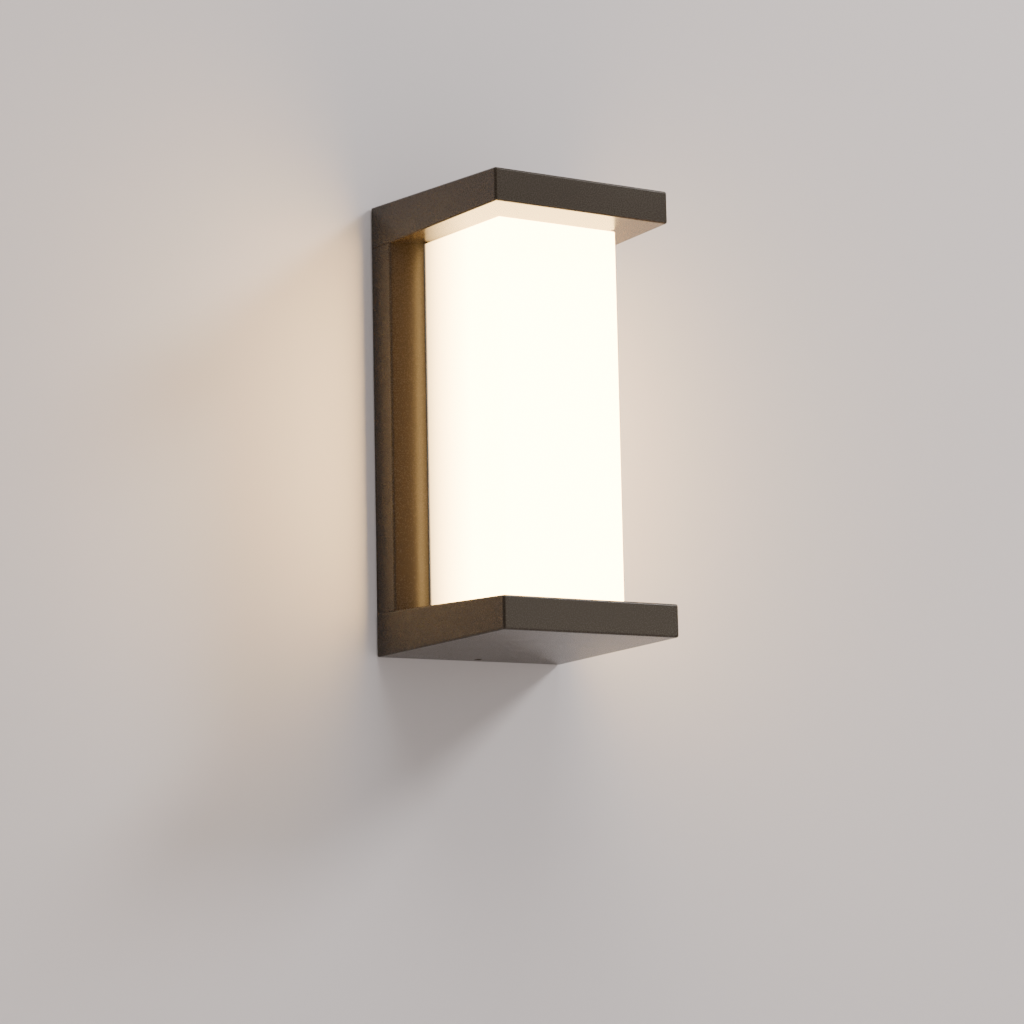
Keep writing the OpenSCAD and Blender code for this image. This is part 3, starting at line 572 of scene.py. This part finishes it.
def make_screw_tree():
    """A screw on each point, its head's underside there, its shank along -Y, or +Y if flipped."""
    head_sides, head_rings, dome_curve = 32, 8, 1.6
    recess_cuts = ((1.05, 0.2, 0.95), (0.2, 1.05, 0.98))
    shank_sides, shank_end, shank_neck = 24, 0.82, 0.88
    thread_run, thread_start, thread_core, thread_crest = 0.9, 0.98, 0.86, 0.13
    thread_points, crest_points = 16, 4
    tree, into, out = geometry_tree("pan_head_screws", [
        ("Head Radius", "NodeSocketFloat"), ("Head Height", "NodeSocketFloat"),
        ("Shank Radius", "NodeSocketFloat"), ("Shank Length", "NodeSocketFloat"),
        ("Thread Pitch", "NodeSocketFloat"), ("Flip", "NodeSocketFloat"),
        ("Finish", "NodeSocketMaterial")])
    link = tree.links.new

    def scaled(socket, factor):
        node = tree.nodes.new("ShaderNodeMath")
        node.operation = "MULTIPLY"
        node.inputs[1].default_value = factor
        link(socket, node.inputs[0])
        return node.outputs["Value"]

    def vector(x=None, y=None, z=None):
        node = tree.nodes.new("ShaderNodeCombineXYZ")
        for axis, socket in (("X", x), ("Y", y), ("Z", z)):
            if socket is not None:
                link(socket, node.inputs[axis])
        return node.outputs["Vector"]

    def moved(geometry, offset):
        node = tree.nodes.new("GeometryNodeTransform")
        link(geometry, node.inputs["Geometry"])
        link(offset, node.inputs["Translation"])
        return node.outputs["Geometry"]

    def math_node(operation, first, second):
        node = tree.nodes.new("ShaderNodeMath")
        node.operation = operation
        for socket, value in zip(node.inputs, (first, second)):
            if isinstance(value, (int, float)):
                socket.default_value = value
            else:
                link(value, socket)
        return node.outputs["Value"]

    drum = tree.nodes.new("GeometryNodeMeshCylinder")
    drum.inputs["Vertices"].default_value = head_sides
    drum.inputs["Side Segments"].default_value = head_rings
    link(into.outputs["Head Radius"], drum.inputs["Radius"])
    link(into.outputs["Head Height"], drum.inputs["Depth"])
    spot = tree.nodes.new("ShaderNodeSeparateXYZ")
    link(tree.nodes.new("GeometryNodeInputPosition").outputs["Position"], spot.inputs["Vector"])
    rise = math_node("MAXIMUM",
                     math_node("DIVIDE", spot.outputs["Z"], into.outputs["Head Height"]), 0)
    narrow = math_node("SUBTRACT", 1,
                       math_node("MULTIPLY", math_node("POWER", rise, 2), dome_curve))
    dome = tree.nodes.new("GeometryNodeSetPosition")
    link(drum.outputs["Mesh"], dome.inputs["Geometry"])
    link(vector(math_node("MULTIPLY", spot.outputs["X"], narrow),
                math_node("MULTIPLY", spot.outputs["Y"], narrow), spot.outputs["Z"]),
         dome.inputs["Position"])
    head = moved(dome.outputs["Geometry"], vector(z=scaled(into.outputs["Head Height"], 0.5)))
    for across, along, height in recess_cuts:
        bar = tree.nodes.new("GeometryNodeMeshCube")
        link(vector(scaled(into.outputs["Head Radius"], across),
                    scaled(into.outputs["Head Radius"], along), into.outputs["Head Height"]),
             bar.inputs["Size"])
        cut = tree.nodes.new("GeometryNodeMeshBoolean")
        cut.operation = "DIFFERENCE"
        link(head, cut.inputs["Mesh 1"])
        link(moved(bar.outputs["Mesh"], vector(z=scaled(into.outputs["Head Height"], height))),
             cut.inputs["Mesh 2"])
        head = cut.outputs["Mesh"]
    shank = tree.nodes.new("GeometryNodeMeshCone")
    shank.inputs["Vertices"].default_value = shank_sides
    link(scaled(into.outputs["Shank Radius"], shank_end), shank.inputs["Radius Bottom"])
    link(scaled(into.outputs["Shank Radius"], shank_neck), shank.inputs["Radius Top"])
    link(into.outputs["Shank Length"], shank.inputs["Depth"])
    shank_low = vector(z=scaled(into.outputs["Shank Length"], -1.0))
    thread_length = scaled(into.outputs["Shank Length"], thread_run)
    helix = tree.nodes.new("GeometryNodeCurveSpiral")
    helix.inputs["Resolution"].default_value = thread_points
    turns = math_node("DIVIDE", thread_length, into.outputs["Thread Pitch"])
    link(turns, helix.inputs["Rotations"])
    for name in ("Start Radius", "End Radius"):
        link(scaled(into.outputs["Shank Radius"], thread_core), helix.inputs[name])
    link(thread_length, helix.inputs["Height"])
    crest = tree.nodes.new("GeometryNodeCurvePrimitiveCircle")
    crest.inputs["Resolution"].default_value = crest_points
    link(scaled(into.outputs["Shank Radius"], thread_crest), crest.inputs["Radius"])
    thread = tree.nodes.new("GeometryNodeCurveToMesh")
    thread.inputs["Fill Caps"].default_value = True
    link(helix.outputs["Curve"], thread.inputs["Curve"])
    link(crest.outputs["Curve"], thread.inputs["Profile Curve"])
    thread_low = vector(z=scaled(into.outputs["Shank Length"], -thread_start))
    whole = tree.nodes.new("GeometryNodeJoinGeometry")
    link(head, whole.inputs["Geometry"])
    link(moved(shank.outputs["Mesh"], shank_low), whole.inputs["Geometry"])
    link(moved(thread.outputs["Mesh"], thread_low), whole.inputs["Geometry"])
    turn = tree.nodes.new("GeometryNodeTransform")
    link(whole.outputs["Geometry"], turn.inputs["Geometry"])
    link(vector(x=scaled(into.outputs["Flip"], -math.radians(90))), turn.inputs["Rotation"])
    place = tree.nodes.new("GeometryNodeInstanceOnPoints")
    real = tree.nodes.new("GeometryNodeRealizeInstances")
    paint = tree.nodes.new("GeometryNodeSetMaterial")
    link(into.outputs["Geometry"], place.inputs["Points"])
    link(turn.outputs["Geometry"], place.inputs["Instance"])
    link(place.outputs["Instances"], real.inputs["Geometry"])
    link(real.outputs["Geometry"], paint.inputs["Geometry"])
    link(into.outputs["Finish"], paint.inputs["Material"])
    link(paint.outputs["Geometry"], out.inputs["Geometry"])
    return tree


screw_tree = make_screw_tree()
head_height = 0.0018
head_share = 0.99
shank_radius = 0.0014
thread_pitch = 0.0007
screw_finishes = {"rear_cover_screws": steel, "diffuser_screws": steel, "led_board_screws": steel,
                  "driver_screws": steel, "terminal_block_screw": steel, "clamp_screws": steel,
                  "earth_screw": brass}
for node, finish in screw_finishes.items():
    out_from_wall = node != "led_board_screws"
    solids = solids_of(node)
    low, high = solids[0]
    length = high.y - low.y - head_height
    seat_y = high.y - head_height if out_from_wall else low.y + head_height
    points = [((a.x + b.x) / 2, seat_y, (a.z + b.z) / 2) for a, b in solids]
    grow(node + "_set", points, screw_tree,
         {"Head Radius": (high.x - low.x) / 2, "Head Height": head_height * head_share,
          "Shank Radius": shank_radius, "Shank Length": length, "Thread Pitch": thread_pitch,
          "Flip": 1.0 if out_from_wall else -1.0, "Finish": finish}, "lantern", [node])


# --- Locking screws -------------------------------------------------------------------------------
# Blackened M4 set screws with a hex socket and a plain point, one in the top and one in the
# underside. Their points sit in the slots of the bracket's tabs.
lock_edge = 0.0002
black_steel = material("blackened_steel", (0.075, 0.07, 0.065, 1), 0.4, metallic=1.0, spread=0.15,
                       grain=900, bump=0.06)
for node, body in (("lock_screw_top", "upper_lock"), ("lock_screw_bottom", "lower_lock")):
    rounded_piece(node, body, node + "_set", black_steel, lock_edge, no_edges)


# --- Driver ---------------------------------------------------------------------------------------
# The LED driver: a moulded case with two ears and a snap-in lid, around a board with its
# transformer and its capacitors.
driver_shortest = 0.007
case_plastic = material("case_plastic", (0.74, 0.74, 0.71, 1), 0.5, spread=0.05, grain=1100,
                        bump=0.15)
board_green = material("board_green", (0.02, 0.16, 0.06, 1), 0.35, spread=0.12, grain=250,
                       bump=0.05)
tape_yellow = material("tape_yellow", (0.62, 0.46, 0.08, 1), 0.4, spread=0.08, grain=350, bump=0.05)
sleeve_black = material("sleeve_black", (0.02, 0.02, 0.035, 1), 0.25, spread=0.2, grain=500)
for node, finish, width in (("driver_case", case_plastic, 0.0003),
                            ("driver_lid", case_plastic, 0.0004),
                            ("driver_board", board_green, 0.0001),
                            ("driver_transformer", tape_yellow, 0.0003),
                            ("driver_capacitors", sleeve_black, 0.0003)):
    rounded_piece(node, "lantern", node + "_part", finish, width, long_edges(driver_shortest),
                  segments=2)


# --- Terminals and clamp --------------------------------------------------------------------------
# A moulded three-pole nylon terminal block with brass screws, and the nylon bar that clamps the
# supply cable.
terminal_edge, terminal_shortest = 0.0003, 0.006
for node, finish in (("terminal_block", nylon), ("cable_clamp", nylon),
                     ("terminal_screws", brass)):
    rounded_piece(node, "lantern", node + "_part", finish, terminal_edge,
                  long_edges(terminal_shortest), segments=2)


# --- Leads ----------------------------------------------------------------------------------------
# Insulated leads between the terminal block, the driver, the board and the casting. Both LED leads
# share one colour, as do both mains leads.
lead_roughness, lead_grain = 0.42, 700
for node, name, color in (("led_leads", "lead_insulation", (0.45, 0.03, 0.025, 1)),
                          ("mains_leads", "mains_insulation", (0.05, 0.09, 0.36, 1)),
                          ("earth_lead", "earth_insulation", (0.16, 0.42, 0.05, 1))):
    finish = material(name, color, lead_roughness, grain=lead_grain)
    data = bpy.data.meshes.new(node + "_runs")
    mesh = bmesh.new()
    mesh.from_mesh(nodes[node].data)
    bmesh.ops.remove_doubles(mesh, verts=mesh.verts, dist=merge_distance)
    bmesh.ops.recalc_face_normals(mesh, faces=mesh.faces)
    for face in mesh.faces:
        face.smooth = True
    mesh.to_mesh(data)
    mesh.free()
    data.materials.append(finish)
    runs = bpy.data.objects.new(node + "_runs", data)
    bpy.context.scene.collection.objects.link(runs)
    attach(runs, "lantern")
    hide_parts(node)


# --- Room -----------------------------------------------------------------------------------------
# The wall just behind the lantern and a pale floor, four round soft lights, one of them behind the
# wall, and a pale surround. From behind, the wall is clear.
room_size = 6.0
floor_drop = 1.3
wall_gap = 0.0006
wall_color = (0.66, 0.62, 0.63, 1)
floor_color = (0.64, 0.61, 0.58, 1)


def stage_plane(name, corners, color, see_through_back):
    data = bpy.data.meshes.new(name)
    data.from_pydata(corners, [], [(0, 1, 2, 3)])
    plane = bpy.data.objects.new(name, data)
    bpy.context.scene.collection.objects.link(plane)
    paint = material(name + "_paint", color, 0.85, spread=0.02, grain=60, blotch=3, share=0.2,
                     bump=0.02, rough_spread=0.05)
    data.materials.append(paint)
    if see_through_back:
        tree = paint.node_tree
        side = tree.nodes.new("ShaderNodeNewGeometry")
        clear = tree.nodes.new("ShaderNodeBsdfTransparent")
        pick = tree.nodes.new("ShaderNodeMixShader")
        link_shader(tree, side.outputs["Backfacing"], pick.inputs["Fac"])
        link_shader(tree, tree.nodes["Principled BSDF"].outputs["BSDF"], pick.inputs[1])
        link_shader(tree, clear.outputs["BSDF"], pick.inputs[2])
        link_shader(tree, pick.outputs["Shader"], tree.nodes["Material Output"].inputs["Surface"])
        plane.visible_shadow = False


half = room_size / 2
stage_plane("wall", [(-half, wall_gap, -half), (half, wall_gap, -half), (half, wall_gap, half),
                     (-half, wall_gap, half)], wall_color, True)
stage_plane("floor", [(-half, -half, -floor_drop), (half, -half, -floor_drop),
                      (half, half, -floor_drop), (-half, half, -floor_drop)], floor_color, False)


def soft_light(name, place, aim, size, power, color):
    light = bpy.data.lights.new(name, "AREA")
    light.shape = "DISK"
    light.size = size
    light.energy = power
    light.color = color
    lamp = bpy.data.objects.new(name, light)
    direction = Vector(aim) - Vector(place)
    turn = direction.to_track_quat("-Z", "Y").to_matrix().to_4x4()
    lamp.matrix_world = Matrix.Translation(place) @ turn
    bpy.context.scene.collection.objects.link(lamp)


soft_light("key_light", (2.5, -1.9, 1.9), (0, 0, 0), 0.9, 112, (1.0, 0.97, 0.95))
soft_light("ceiling_light", (-0.3, -1.8, 2.4), (0, 0, 0), 1.8, 38, (1.0, 0.98, 0.96))
soft_light("soft_box", (1.6, -2.4, -0.25), (0, 0, 0), 1.7, 12, (1.0, 0.93, 0.84))
soft_light("back_fill", (0.9, 2.2, 0.8), (0, 0, 0), 2.0, 30, (1.0, 1.0, 1.0))
world = bpy.data.worlds.new("surround")
world.use_nodes = True
background = world.node_tree.nodes["Background"]
background.inputs["Color"].default_value = (0.80, 0.77, 0.75, 1)
background.inputs["Strength"].default_value = 0.5
bpy.context.scene.world = world
